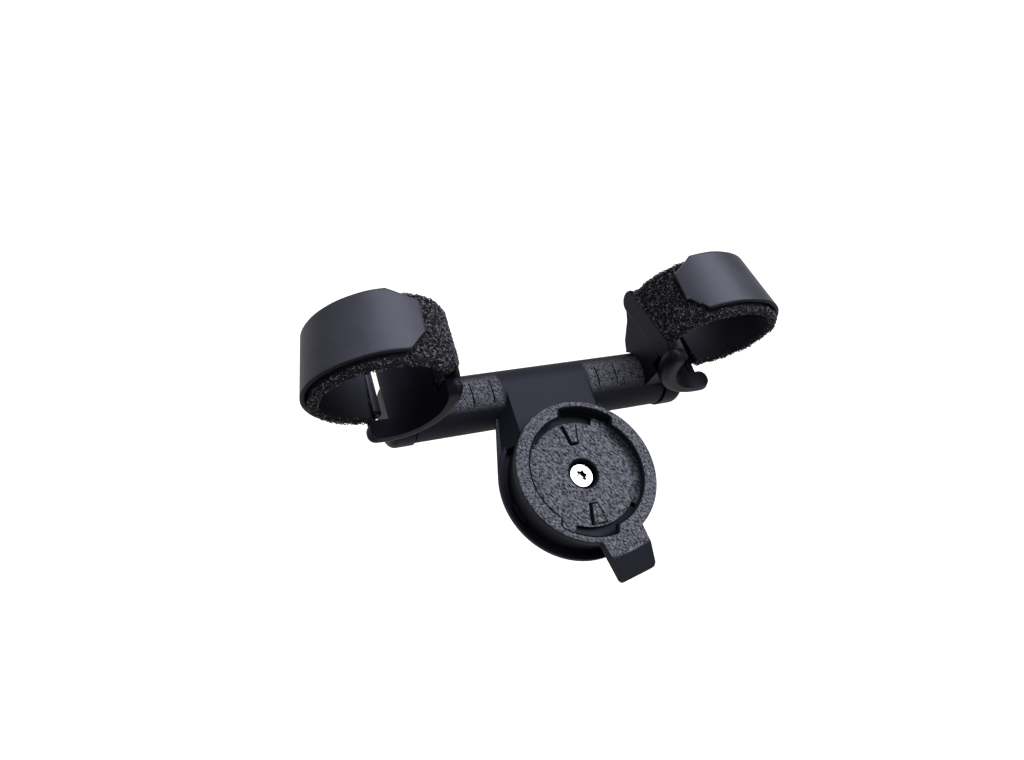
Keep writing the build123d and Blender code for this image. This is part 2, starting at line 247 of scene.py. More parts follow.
# %% Lines of the cradle
LIP_HEIGHT_MM = (10.9, 11.2)
FLOOR_HEIGHT_MM = (10.7, 10.5)
HOLE_MOUTH_R_MM = (3.75, 3.6)
UNDERCUT_R_MM = (14.3, 15.2)
LIP_R_MM = 13.1
SEAT_WALL_R_MM = 15.0
NOTCH_ANGLE = 72.5
NOTCH_HALF_MM = 6.2
WEDGE_ANGLE = 88.5
WEDGE_R_MM = (7.1, 11.6)
WEDGE_HALF_MM = (0.85, 1.75)
LINE_MM = 0.4
FINE_LINE_MM = 0.28


def painted_shade_lines(tree, at, radius, height):
    """Painted shade lines of the hole, the undercut, the lip, the notches and the wedges."""
    on_lip, on_floor = (height, *LIP_HEIGHT_MM), (height, *FLOOR_HEIGHT_MM)
    _, off_notch = along_and_across(tree, at, NOTCH_ANGLE)
    along, across = along_and_across(tree, at, WEDGE_ANGLE)
    half = add(tree, "ShaderNodeMapRange", {
        "Value": along, "From Min": WEDGE_R_MM[0], "From Max": WEDGE_R_MM[1],
        "To Min": WEDGE_HALF_MM[0], "To Max": WEDGE_HALF_MM[1]}).outputs["Result"]
    past_side = add(tree, "ShaderNodeMath", {0: across, 1: half}, operation="SUBTRACT").outputs[0]
    past_end = add(tree, "ShaderNodeMath", {0: WEDGE_R_MM[0], 1: along},
                   operation="SUBTRACT").outputs[0]
    off_wedge = add(tree, "ShaderNodeMath", {0: past_side, 1: past_end},
                    operation="MAXIMUM").outputs[0]
    lines = {
        "hole": [(radius, *HOLE_MOUTH_R_MM)],
        "undercut": [on_floor, *between(radius, *UNDERCUT_R_MM)],
        "lip": [on_lip, up_to(radius, LIP_R_MM + LINE_MM)],
        "notch sides": [on_lip, *between(off_notch, NOTCH_HALF_MM, NOTCH_HALF_MM + LINE_MM),
                        up_to(radius, SEAT_WALL_R_MM + END_FADE_MM)],
        "notch wall": [on_lip, *between(radius, SEAT_WALL_R_MM, SEAT_WALL_R_MM + FINE_LINE_MM),
                       up_to(off_notch, NOTCH_HALF_MM + END_FADE_MM)],
        "wedge": [on_floor, *between(off_wedge, -FINE_LINE_MM, FINE_LINE_MM),
                  up_to(along, WEDGE_R_MM[1] + END_FADE_MM)],
    }
    drawn = 0.0
    for limits in lines.values():
        drawn = add(tree, "ShaderNodeMath", {0: drawn, 1: ramps(tree, *limits)},
                    operation="MAXIMUM").outputs[0]
    return drawn


print("the lip's line is", LINE_MM, "mm wide, the wedges'", 2 * FINE_LINE_MM, "mm")

# %% Masks of the cradle
RING_AXIS_Y_MM = -24.5
TAB_ROOT_R_MM = (19.8, 19.4)
ABOVE_SLOTS_MM = (8.7, 9.0)
# How far up the surface faces: 0 on a wall, 1 on a level top.
FACING_UP = (0.5, 0.8)


def cradle_masks(tree):
    """Grain on what faces up, but not in the slots or down the tab, and the painted shade lines."""
    at, radius = measured(tree, RING_AXIS_Y_MM, (1, 1, 0))
    height = add(tree, "ShaderNodeSeparateXYZ", {"Vector": at}).outputs["Z"]
    normal = add(tree, "ShaderNodeTexCoord").outputs["Normal"]
    facing = add(tree, "ShaderNodeSeparateXYZ", {"Vector": normal}).outputs["Z"]
    grain = ramps(tree, (radius, *TAB_ROOT_R_MM), (height, *ABOVE_SLOTS_MM), (facing, *FACING_UP))
    return grain, painted_shade_lines(tree, at, radius, height)


print("the tab is grained up to", max(TAB_ROOT_R_MM), "mm from the ring's axis")

# %% [markdown]
# ## Grained nylon
# Both pieces are moulded nylon. Where the mould was eroded with sparks, the skin is leathery,
# with streaks about 0.2 mm wide and 0.7 mm long, drawn here at that size. They sparkle where
# light comes back from their backs and stay dark in the valleys, and that sparkle is partly a
# painted highlight: the backs get a light grey colour on top of their real bump and roughness.
# Displacing a mesh would need millions of faces for this. Here one stretched noise drives the
# colour, the roughness and the bump together, so that the painted bright spots sit on the backs.
# A second, even noise breaks up the shine of all of it, as the skin of moulded nylon does.

# %% Streaks
STREAK_WIDTH_MM = 0.2
STREAK_LENGTH_MM = 0.7
STREAK_TURN = math.radians(-35)
STREAK_RELIEF = (0.4, 0.62)


def streaks(tree, place):
    """Stretched noise, 0 in the valleys and 1 on the streaks' backs."""
    turned = add(tree, "ShaderNodeMapping", {"Vector": place, "Rotation": (0, 0, STREAK_TURN)})
    drawn_out = add(tree, "ShaderNodeMapping", {
        "Vector": turned.outputs["Vector"], "Scale": (1, STREAK_WIDTH_MM / STREAK_LENGTH_MM, 1)})
    cloud = add(tree, "ShaderNodeTexNoise", {
        "Vector": drawn_out.outputs["Vector"], "Scale": cells(STREAK_WIDTH_MM),
        "Detail": 2.0, "Distortion": 0.6})
    return add(tree, "ShaderNodeMapRange", {
        "Value": cloud.outputs["Fac"], "From Min": STREAK_RELIEF[0],
        "From Max": STREAK_RELIEF[1]}).outputs["Result"]


print("streaks", STREAK_WIDTH_MM, "by", STREAK_LENGTH_MM, "mm")

# %% Grained nylon
STREAK_DEPTH_MM = 0.12
SKIN_GRAIN_MM = 0.2
SKIN_DEPTH_MM = 0.06
NYLON = "#14141f"
GRAIN_VALLEY = "#191a23"
# EDGE_SHADE is painted shade: the colour of the cradle's edge lines and the trim marks' insides.
EDGE_SHADE = "#07070b"
COOL_GLOSS = "#dfe2ff"
SMOOTH_ROUGH, VALLEY_ROUGH, BACK_ROUGH, EDGE_ROUGH = 0.6, 0.85, 0.42, 0.95


def grained_nylon(name, masks, back):
    """Moulded nylon: dark and cool, with a broad soft shine where it is smooth and a sparkle
    where it is grained, partly painted highlight. masks(tree) gives the places of the grain and of
    the painted shade lines, and back is the painted highlight colour of the streaks' backs."""
    material, tree, output = blank_material(name)
    place = add(tree, "ShaderNodeTexCoord").outputs["Object"]
    eroded, line = masks(tree)
    grain = add(tree, "ShaderNodeMath", {0: streaks(tree, place), 1: eroded},
                operation="MULTIPLY").outputs[0]
    fine = add(tree, "ShaderNodeTexNoise", {
        "Vector": place, "Scale": cells(SKIN_GRAIN_MM), "Detail": 3.0})
    bump = add(tree, "ShaderNodeBump", {
        "Height": grain, "Strength": 0.8, "Distance": STREAK_DEPTH_MM * MM})
    skin = add(tree, "ShaderNodeBump", {
        "Height": fine.outputs["Fac"], "Strength": 0.5, "Distance": SKIN_DEPTH_MM * MM,
        "Normal": bump.outputs["Normal"]})
    base = add(tree, "ShaderNodeMix", {
        "Factor": eroded, "A": linear(NYLON), "B": linear(GRAIN_VALLEY)}, data_type="RGBA")
    # Painted highlight: on the streaks' backs the colour goes to the light back colour.
    grained = add(tree, "ShaderNodeMix", {
        "Factor": grain, "A": base.outputs["Result"], "B": linear(back)}, data_type="RGBA")
    # Painted shade: where the lines are, the colour goes to EDGE_SHADE.
    colour = add(tree, "ShaderNodeMix", {
        "Factor": line, "A": grained.outputs["Result"], "B": linear(EDGE_SHADE)}, data_type="RGBA")
    low_rough = add(tree, "ShaderNodeMapRange", {
        "Value": eroded, "To Min": SMOOTH_ROUGH, "To Max": VALLEY_ROUGH})
    skin_rough = add(tree, "ShaderNodeMix", {
        "Factor": grain, "A": low_rough.outputs["Result"], "B": BACK_ROUGH})
    rough = add(tree, "ShaderNodeMix", {
        "Factor": line, "A": skin_rough.outputs["Result"], "B": EDGE_ROUGH})
    shader = add(tree, "ShaderNodeBsdfPrincipled", {
        "Base Color": colour.outputs["Result"], "Roughness": rough.outputs["Result"], "IOR": 1.53,
        "Specular IOR Level": 0.4, "Specular Tint": linear(COOL_GLOSS),
        "Normal": skin.outputs["Normal"]})
    tree.links.new(shader.outputs["BSDF"], output.inputs["Surface"])
    return material


# The back colours are painted highlight, light grey on the streaks' backs.
bar_nylon = grained_nylon("moulded_nylon_bar", bar_masks, back="#83848f")
cradle_nylon = grained_nylon("moulded_nylon_cradle", cradle_masks, back="#8e909d")
print(cradle_nylon.name, len(cradle_nylon.node_tree.nodes), "nodes")

# %% [markdown]
# ## Saddle rubber
# The saddles are a soft thermoplastic rubber, moulded, with a satin skin and no grain. A plain
# dark colour would look like a drawing. What makes it rubber is that its long soft highlights
# run a little unevenly over the ribs, so a slow noise changes the roughness and the slope, and
# fine pores take the edge off the shine.

# %% Saddle rubber
RUBBER = "#11111b"
RUBBER_WAVE_MM = 5.0
RUBBER_WAVE_DEPTH_MM = 0.3
PORE_MM = 0.3
PORE_DEPTH_MM = 0.04


def satin_rubber(name):
    """Moulded rubber: dark, with soft highlights that waver along the ribs."""
    material, tree, output = blank_material(name)
    place = add(tree, "ShaderNodeTexCoord").outputs["Object"]
    slow = add(tree, "ShaderNodeTexNoise", {
        "Vector": place, "Scale": cells(RUBBER_WAVE_MM), "Detail": 3.0})
    pores = add(tree, "ShaderNodeTexNoise", {
        "Vector": place, "Scale": cells(PORE_MM), "Detail": 2.0})
    wave = add(tree, "ShaderNodeBump", {
        "Height": slow.outputs["Fac"], "Strength": 0.3, "Distance": RUBBER_WAVE_DEPTH_MM * MM})
    skin = add(tree, "ShaderNodeBump", {
        "Height": pores.outputs["Fac"], "Strength": 0.2, "Distance": PORE_DEPTH_MM * MM,
        "Normal": wave.outputs["Normal"]})
    rough = add(tree, "ShaderNodeMapRange", {
        "Value": slow.outputs["Fac"], "To Min": 0.36, "To Max": 0.5})
    shader = add(tree, "ShaderNodeBsdfPrincipled", {
        "Base Color": linear(RUBBER), "Roughness": rough.outputs["Result"], "IOR": 1.5,
        "Specular IOR Level": 0.25, "Specular Tint": linear(COOL_GLOSS),
        "Normal": skin.outputs["Normal"]})
    tree.links.new(shader.outputs["BSDF"], output.inputs["Surface"])
    return material


rubber = satin_rubber("thermoplastic_rubber")
print(rubber.name, "waves of", RUBBER_WAVE_MM, "mm, pores of", PORE_MM, "mm")

# %% [markdown]
# ## Zinc-plated steel
# The screw and its nut are bright plated steel. The head is turned, so its polish runs in rings
# round its own axis and they break the highlight a little. Real turning marks are about 0.1 mm
# apart, too fine to show, so they are drawn 0.75 mm apart. The six-lobed socket is deep and
# narrow, and little light comes back out of it. Its own shadow could show that, but the broad
# light reaches its bottom, so its walls are given a darker colour.

# %% Zinc-plated steel
ZINC = "#f0f0ec"
SOCKET_SHADE = "#55554f"
TURNING_MM = 0.754
TURNING_DEPTH_MM = 0.01
IN_SOCKET_HEIGHT_MM = (7.75, 7.65)
IN_SOCKET_R_MM = (2.0, 1.8)
OFF_SOCKET_MIDDLE_MM = (0.5, 0.6)


def plated_steel(name):
    """Turned and plated steel: a bright mirror, blurred in fine rings."""
    material, tree, output = blank_material(name)
    at, radius = measured(tree, RING_AXIS_Y_MM, (1, 1, 0))
    height = add(tree, "ShaderNodeSeparateXYZ", {"Vector": at}).outputs["Z"]
    rings = add(tree, "ShaderNodeTexWave", {
        "Vector": at, "Scale": waves(TURNING_MM), "Distortion": 0.4},
        wave_type="RINGS", rings_direction="Z")
    rough = add(tree, "ShaderNodeMapRange", {
        "Value": rings.outputs["Fac"], "To Min": 0.24, "To Max": 0.36})
    bump = add(tree, "ShaderNodeBump", {
        "Height": rings.outputs["Fac"], "Strength": 0.15, "Distance": TURNING_DEPTH_MM * MM})
    shade = ramps(tree, (height, *IN_SOCKET_HEIGHT_MM), (radius, *IN_SOCKET_R_MM),
                  (radius, *OFF_SOCKET_MIDDLE_MM))
    colour = add(tree, "ShaderNodeMix", {
        "Factor": shade, "A": linear(ZINC), "B": linear(SOCKET_SHADE)}, data_type="RGBA")
    shader = add(tree, "ShaderNodeBsdfPrincipled", {
        "Base Color": colour.outputs["Result"], "Metallic": 1.0,
        "Roughness": rough.outputs["Result"], "Normal": bump.outputs["Normal"]})
    tree.links.new(shader.outputs["BSDF"], output.inputs["Surface"])
    return material


zinc = plated_steel("zinc_plated_steel")
print(zinc.name, "rings", TURNING_MM, "mm apart")

# %% [markdown]
# ## Dress the hard pieces
# The CAD meshes stay as they are, because other things are measured against them. Only their
# material is changed, piece by piece, by the name of the node.

# %% Dress the hard pieces
FINISHES = {
    "crossbar": bar_nylon,
    "cradle": cradle_nylon,
    "cradle_screw": zinc,
    "cradle_nut": zinc,
    "left_saddle": rubber,
    "right_saddle": rubber,
}
for name, finish in FINISHES.items():
    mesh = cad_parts[name].data
    mesh.materials.clear()
    mesh.materials.append(finish)
print("dressed", ", ".join(FINISHES))

# %% [markdown]
# ## Hook tape
# One strap does both jobs. Its tail is hook tape: the hooks are underneath, and what shows is
# the smooth back of the moulded strip, satin and a little uneven, which shines softly where it
# turns up to the light. Woven cloth nodes would be wrong for it. Slow patches a few millimetres
# across change its colour and its roughness, and faint ribs 0.3 mm apart run along it. The ribs
# have to bend with the strip, so they read its own UV map, which is in millimetres. The same
# tree makes a pale painted highlight for the cut end and the clipped rims, and the dull backing,
# which on the tail's long rims is painted shade.

# %% Hook tape
RIB_MM = 0.3
RIB_DEPTH_MM = 0.03
PATCH_MM = 6.0
PATCH_DEPTH_MM = 0.3


def satin_tape(name, light, dark, rough):
    """Moulded strip: satin, with patches that go from dark to light and from rough[0] to [1]."""
    material, tree, output = blank_material(name)
    run = add(tree, "ShaderNodeUVMap", uv_map="strap_mm").outputs["UV"]
    ribs = add(tree, "ShaderNodeTexWave", {
        "Vector": run, "Scale": waves(RIB_MM), "Distortion": 0.8},
        wave_type="BANDS", bands_direction="Y")
    place = add(tree, "ShaderNodeTexCoord").outputs["Object"]
    slow = add(tree, "ShaderNodeTexNoise", {
        "Vector": place, "Scale": cells(PATCH_MM), "Detail": 5.0})
    bump = add(tree, "ShaderNodeBump", {
        "Height": ribs.outputs["Fac"], "Strength": 0.12, "Distance": RIB_DEPTH_MM * MM})
    soft = add(tree, "ShaderNodeBump", {
        "Height": slow.outputs["Fac"], "Strength": 0.3, "Distance": PATCH_DEPTH_MM * MM,
        "Normal": bump.outputs["Normal"]})
    colour = add(tree, "ShaderNodeMix", {
        "Factor": slow.outputs["Fac"], "A": linear(dark), "B": linear(light)}, data_type="RGBA")
    shine = add(tree, "ShaderNodeMapRange", {
        "Value": slow.outputs["Fac"], "To Min": rough[0], "To Max": rough[1]})
    shader = add(tree, "ShaderNodeBsdfPrincipled", {
        "Base Color": colour.outputs["Result"], "Roughness": shine.outputs["Result"], "IOR": 1.53,
        "Specular IOR Level": 0.4, "Specular Tint": linear(COOL_GLOSS),
        "Normal": soft.outputs["Normal"]})
    tree.links.new(shader.outputs["BSDF"], output.inputs["Surface"])
    return material


tape = satin_tape("moulded_hook_tape", light="#4e4f59", dark="#383843", rough=(0.36, 0.46))
# The pale colour below is a painted highlight on the tail's cut end and clipped rims, and the
# backing colour is also painted shade on the tail's long rims.
painted_edge_highlight = satin_tape("painted_tape_edge_highlight", light="#8a8b96", dark="#6a6b76", rough=(0.3, 0.4))
backing_and_rim_shade = satin_tape("strap_backing_and_painted_rim_shade", light="#1d1d24", dark="#121218", rough=(0.5, 0.65))
print("tape finishes", tape.name, painted_edge_highlight.name, backing_and_rim_shade.name)

# %% [markdown]
# ## Pile thread
# The strap's other face is a dark mat of looped nylon thread over a knitted ground. From a
# little way off it is not even: tufts about 0.6 mm across catch the light, and the gaps between
# them are black. The loops are real geometry further down and shine on their own. The material
# adds a painted highlight to them: it goes from dark to light grey in patches the size of a tuft.

# %% Pile thread
TUFT_MM = 0.6
TUFT_DEPTH_MM = 0.15
TUFT_EDGE = (0.5, 0.66)


def pile_thread(name, dark, light, rough):
    """Nylon thread: black in the gaps, shiny on the tufts, with a painted grey highlight there."""
    material, tree, output = blank_material(name)
    place = add(tree, "ShaderNodeTexCoord").outputs["Object"]
    tufts = add(tree, "ShaderNodeTexNoise", {
        "Vector": place, "Scale": cells(TUFT_MM), "Detail": 1.0})
    painted_tuft_highlight = add(tree, "ShaderNodeMapRange", {
        "Value": tufts.outputs["Fac"], "From Min": TUFT_EDGE[0], "From Max": TUFT_EDGE[1]})
    colour = add(tree, "ShaderNodeMix", {
        "Factor": painted_tuft_highlight.outputs["Result"], "A": linear(dark), "B": linear(light)},
        data_type="RGBA")
    bump = add(tree, "ShaderNodeBump", {
        "Height": tufts.outputs["Fac"], "Strength": 0.6, "Distance": TUFT_DEPTH_MM * MM})
    shader = add(tree, "ShaderNodeBsdfPrincipled", {
        "Base Color": colour.outputs["Result"], "Roughness": rough, "IOR": 1.53,
        "Normal": bump.outputs["Normal"]})
    tree.links.new(shader.outputs["BSDF"], output.inputs["Surface"])
    return material


ground = pile_thread("knitted_pile_ground", dark="#07070f", light="#101019", rough=0.8)
# The loops' light grey is a painted highlight on the tufts.
loops = pile_thread("looped_nylon_pile", dark="#0f0f1a", light="#8f909f", rough=0.28)
print("pile finishes", ground.name, loops.name)

# %% [markdown]
# ## The straps' oval
# Each layer of a strap goes round as an oval that opens out a little towards the front. A bent
# plane or a cloth simulation could make such a loop, but both drift from the CAD model's size.
# So each point of a layer is worked out by rule, from its turn round the loop's axis and its
# place across the strap. All sizes are in millimetres and degrees, on the right side, and the
# left strap is mirrored.

# %% The straps' oval
SIDES = ("left", "right")
LOOP_X, LOOP_Z = 40.0, 18.0
LOOP_A, LOOP_B, LOOP_SHIFT = 14.45, 13.2, -0.65
FLARE = {"left": 1.4, "right": 2.25}


def oval(side, y0, width, y, degrees, grow, sag=0.0, inner_x=None):
    """Point on a strap layer. grow moves it outwards, sag lowers what is below the axis, and
    inner_x is where the layer's flat side next to the arm is."""
    spread = FLARE[side] * (y0 + width - y) / width
    middle = LOOP_X + LOOP_SHIFT + spread
    a = LOOP_A + grow + spread
    turn = math.radians(degrees)
    if inner_x is not None and math.cos(turn) < 0:
        a = middle - inner_x
    b = LOOP_B + grow + (sag if math.sin(turn) < 0 else 0.0)
    return Vector((middle + a * math.cos(turn), y, LOOP_Z + b * math.sin(turn)))


SEARCH_DEGREES = 20
HALVINGS = 40


def turn_for(side, y0, width, degrees, grow):
    """The oval's own angle at which it passes a given angle about the loop's axis."""
    low, high = degrees - SEARCH_DEGREES, degrees + SEARCH_DEGREES
    for _ in range(HALVINGS):
        middle = (low + high) / 2
        at = oval(side, y0, width, y0 + width / 2, middle, grow)
        seen = math.degrees(math.atan2(at.z - LOOP_Z, at.x - LOOP_X))
        if (seen - degrees + 180) % 360 - 180 < 0:
            low = middle
        else:
            high = middle
    return (low + high) / 2


print("a strap's loop is", 2 * LOOP_B, "mm high over its pile band")

# %% [markdown]
# ## Sweep a strap layer
# A strip has two faces and two rounded edges, so its cross-section is a closed outline. It
# could be a curve with a bevel, but a bevel has one width, and these strips have clipped
# corners and a neck. So the outline is placed step by step along the run, with the strip's two
# edges given for each step, and the steps are joined with faces.

# %% Sweep a strap layer
RIM = (0.2, 0.5, 0.8)
UNDERSIDE_UV_MM = 40


def section(steps, edge_mm):
    """Outline of a flat strip with rounded edges: (share across, inset, share of thickness)."""
    top = [(k / steps, 1.0) for k in range(steps + 1)]
    far_rim = [(1.0, height) for height in reversed(RIM)]
    bottom = [(1 - k / steps, 0.0) for k in range(steps + 1)]
    near_rim = [(0.0, height) for height in RIM]
    outline = []
    for share, height in top + far_rim + bottom + near_rim:
        pull = edge_mm * (1 - math.sqrt(max(0.0, 1 - (2 * height - 1) ** 2)))
        inset = {0.0: pull, 1.0: -pull}.get(share, 0.0)
        outline.append((share, inset, height))
    return outline


def sweep(name, steps, edges, inner, outer, outline):
    """Closed mesh of a strap layer. edges(step) gives its two edges in y, and inner(y, step)
    and outer(y, step) give its faces."""
    points, uvs = [], []
    run = 0.0
    last = None
    for step in steps:
        low, high = edges(step)
        middle = outer((low + high) / 2, step)
        run += (middle - last).length if last is not None else 0.0
        last = middle
        for share, inset, height in outline:
            y = low + (high - low) * share + inset
            points.append(inner(y, step).lerp(outer(y, step), height))
            uvs.append((run, y + (0 if height > 0.5 else UNDERSIDE_UV_MM)))
    count, rows = len(outline), len(steps)
    faces = []
    for r in range(rows - 1):
        for c in range(count):
            d = (c + 1) % count
            faces.append((r * count + c, (r + 1) * count + c,
                          (r + 1) * count + d, r * count + d))
    faces.append(tuple(range(count)))
    faces.append(tuple(reversed(range((rows - 1) * count, rows * count))))
    mesh = bpy.data.meshes.new(name)
    mesh.from_pydata([p * MM for p in points], [], faces)
    layer = mesh.uv_layers.new(name="strap_mm")
    for corner in mesh.loops:
        layer.data[corner.index].uv = uvs[corner.vertex_index]
    return mesh


print("a strap's section with 18 steps has", len(section(18, 0.4)), "points")

# %% [markdown]
# ## Finish and place a piece
# The left strap is the right one mirrored. A Mirror modifier would make both in one mesh, but
# each strap turns with its own saddle, so they are two pieces. A mirror turns a mesh inside out,
# so the faces are turned outwards afterwards. Each piece gets its object, at the origin and
# unturned, and rides its saddle.

# %% Finish and place a piece
def finish_mesh(mesh, mirrored):
    """Mirrors the right-hand mesh where asked, turns faces outwards and shades smooth."""
    if mirrored:
        for vertex in mesh.vertices:
            vertex.co.x = -vertex.co.x
    shape = bmesh.new()
    shape.from_mesh(mesh)
    bmesh.ops.recalc_face_normals(shape, faces=shape.faces)
    shape.to_mesh(mesh)
    shape.free()
    mesh.shade_smooth()


def place_piece(name, mesh, side, replaced=None):
    """Adds a mesh as a piece that rides its side's saddle, in the place of a CAD node if any."""
    piece = bpy.data.objects.new(name, mesh)
    scene.collection.objects.link(piece)
    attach(piece, side + "_saddle")
    if replaced is not None:
        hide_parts(replaced)
    print(piece.name, len(mesh.polygons), "faces")
    return piece


print("straps ride", " and ".join(side + "_saddle" for side in SIDES))

# %% [markdown]
# ## The hook tail
# It starts in the fold round the saddle's lower keeper, comes up the outside and over the top,
# and ends in a straight cut with both corners clipped off at an angle. The clips could be cut
# with a Boolean, but that leaves long thin faces. Moving the two edges of the sweep inwards
# keeps every face even. The edges waver a little, as a cut strip's do.

# %% The tail's edges
TAIL_T, TAIL_W, TAIL_GAP, TAIL_SAG = 1.2, 14.4, 0.12, 1.85
TAIL_Y = {"left": -1.3, "right": 0.9}
TAIL_END = {"left": 115.0, "right": 134.0}
# Each clip: the angle at which it starts, and how far it has cut in at the tail's end.
REAR_CLIP = {"left": (88.0, 3.2), "right": (114.0, 2.8)}
FRONT_CLIP = {"left": (99.0, 4.2), "right": (121.0, 4.2)}
NO_CLIP_BEFORE = 60
WAVER_MM = 0.07
WAVER_PER_DEGREE = 0.06
WAVER_SEED = {"left": 2.0, "right": 6.0}


def clipped_corner(side, x, clip):
    """How far a corner clip has cut in from the tail's edge where the tail has reached x."""
    first, depth = clip
    radius = LOOP_B + TAIL_T
    x0, x1 = (LOOP_X + radius * math.cos(math.radians(a)) for a in (first, TAIL_END[side]))
    return depth * min(1.0, max(0.0, (x0 - x) / (x0 - x1)))


def tail_edges(side, degrees):
    """The tail's two edges in y at an angle of its oval."""
    y0 = TAIL_Y[side]
    waver = WAVER_MM * noise.noise(Vector((degrees * WAVER_PER_DEGREE, WAVER_SEED[side], 0)))
    if degrees < NO_CLIP_BEFORE:
        return y0 + waver, y0 + TAIL_W + waver
    x = oval(side, y0, TAIL_W, y0 + TAIL_W / 2, degrees, TAIL_GAP + TAIL_T).x
    return (y0 + waver + clipped_corner(side, x, FRONT_CLIP[side]),
            y0 + TAIL_W + waver - clipped_corner(side, x, REAR_CLIP[side]))


for side in SIDES:
    print(side, "tail's edges at its end", [round(y, 2) for y in tail_edges(side, TAIL_END[side])])

# %% [markdown]
# ## Sweep and colour the tails
# The tail's run has two parts, the small fold round the keeper and the long oval. Its cut end
# and the upper rims of its clips get a pale material of their own, a painted highlight, and the
# long rims get the dull backing as painted shade.

# %% Hook tails
TAIL_ROOT = -83.6
TAIL_STEPS = 150
TAIL_SECTION = section(18, 0.4)
FOLD_X, FOLD_Z, FOLD_R = 41.5, 3.815, 0.985
FOLD_START, FOLD_SWEEP, FOLD_STEPS = 92, 172, 12
SKIN_GAP_MM = 0.03
TOP_HALF = 0.4


def tail_layer(side, grow, radius):
    """Function of (y, step) that gives a face of the tail, in the fold and on the oval."""
    def at(y, step):
        kind, degrees = step
        if kind == "oval":
            return oval(side, TAIL_Y[side], TAIL_W, y, degrees, grow, TAIL_SAG)
        turn = math.radians(degrees)
        return Vector((FOLD_X + radius * math.cos(turn), y, FOLD_Z + radius * math.sin(turn)))
    return at


def tail_finish(side, corners, steps):
    """Material index of a face of the tail, from the numbers of its corners: 0 the tape, 1 the
    painted highlight of its cut end and its clips' upper rims, 2 the strap's dull back colour,
    which on the long rims is painted shade."""
    count = len(TAIL_SECTION)
    parts = [TAIL_SECTION[v % count] for v in corners]
    share = parts[0][0]
    on_rim = share in (0.0, 1.0) and all(part[0] == share for part in parts)
    on_top = min(part[2] for part in parts) > TOP_HALF
    on_end = min(corners) >= (len(steps) - 1) * count
    kind, degrees = steps[corners[0] // count]
    clip = REAR_CLIP[side] if share == 1.0 else FRONT_CLIP[side]
    clipped = kind == "oval" and degrees > clip[0]
    # Painted highlight on the cut end and the clips' upper rims, painted shade on the other rims.
    if on_end or (on_rim and clipped and on_top):
        return 1
    return 2 if on_rim else 0


def hook_tail(side):
    """Adds one strap's tail as a piece."""
    y0 = TAIL_Y[side]
    outside = TAIL_GAP + TAIL_T
    start = turn_for(side, y0, TAIL_W, TAIL_ROOT, outside)
    end = turn_for(side, y0, TAIL_W, TAIL_END[side], outside)
    steps = [("fold", FOLD_START + FOLD_SWEEP * k / FOLD_STEPS) for k in range(FOLD_STEPS + 1)]
    steps += [("oval", start + (end - start) * k / TAIL_STEPS) for k in range(TAIL_STEPS + 1)]

    def edges(step):
        kind, degrees = step
        return (y0, y0 + TAIL_W) if kind == "fold" else tail_edges(side, degrees)

    inner = tail_layer(side, TAIL_GAP + SKIN_GAP_MM, FOLD_R + SKIN_GAP_MM)
    outer = tail_layer(side, outside, FOLD_R + TAIL_T)
    mesh = sweep(side + "_hook_tail", steps, edges, inner, outer, TAIL_SECTION)
    finish_mesh(mesh, side == "left")
    for finish in (tape, painted_edge_highlight, backing_and_rim_shade):
        mesh.materials.append(finish)
    for polygon in mesh.polygons:
        polygon.material_index = tail_finish(side, polygon.vertices, steps)
    place_piece(side + "_tape_tail", mesh, side, side + "_hook_tail")


for side in SIDES:
    hook_tail(side)

# %% [markdown]
# ## The pile band
# It is thicker and softer than the tail. Where it comes out from behind the saddle's keeper it
# is squeezed thin, and over the keeper's edge it swells again. A cloth simulation could squeeze
# it, but it would not come out the same each time. Here a slow noise lifts the band's face a
# little, which keeps it from looking machined, and the squeeze is a short ramp.

# %% The band's faces
HOLE_R = 11.25
BAND_T, BAND_W = 2.0, 15.8
BAND_Y = {"left": -3.2, "right": -0.9}
BAND_INNER_X = 28.8
BAND_SINK, LUMP_SINK, LUMP_MM = 0.05, 0.1, 0.14
LUMPS_PER_DEGREE, LUMPS_PER_MM = 0.11, 0.45
LUMP_SEED = {"left": 3.0, "right": 9.0}
KEEPER_FROM = 120
KEEPER_BACK_X = 27.12
KEEPER_MID_Y, KEEPER_MID_Z = 6.9, 15.95
KEEPER_SLOPE, KEEPER_HALF = math.radians(18.3), 2.9
SQUEEZE_MM = 1.2


def keeper_edge(y):
    """Height of the keeper's upper edge at y."""
    return (KEEPER_MID_Z - (y - KEEPER_MID_Y) * math.tan(KEEPER_SLOPE)
            + KEEPER_HALF / math.cos(KEEPER_SLOPE))


def band_outer(side, y, turn):
    """The band's pile face, lumpy, and squeezed behind the keeper."""
    at = oval(side, BAND_Y[side], BAND_W, y, turn, -BAND_SINK)
    lump = noise.noise(Vector((turn * LUMPS_PER_DEGREE, y * LUMPS_PER_MM, LUMP_SEED[side])))
    out = Vector((at.x - LOOP_X, 0, at.z - LOOP_Z)).normalized()
    at += out * (LUMP_MM * lump - LUMP_SINK)
    if turn > KEEPER_FROM:
        behind = (keeper_edge(y) + SQUEEZE_MM / 2 - at.z) / SQUEEZE_MM
        at.x = max(at.x, at.x + (KEEPER_BACK_X - at.x) * min(1.0, max(0.0, behind)))
    return at


def band_inner(side, y, turn):
    """The band's back, which keeps the hole through the strap clear."""
    at = oval(side, BAND_Y[side], BAND_W, y, turn, -BAND_T, inner_x=BAND_INNER_X)
    out = Vector((at.x - LOOP_X, 0, at.z - LOOP_Z))
    return at + out * max(0.0, HOLE_R / out.length - 1)


print("keeper's upper edge", round(keeper_edge(KEEPER_MID_Y), 2), "mm up in its middle")

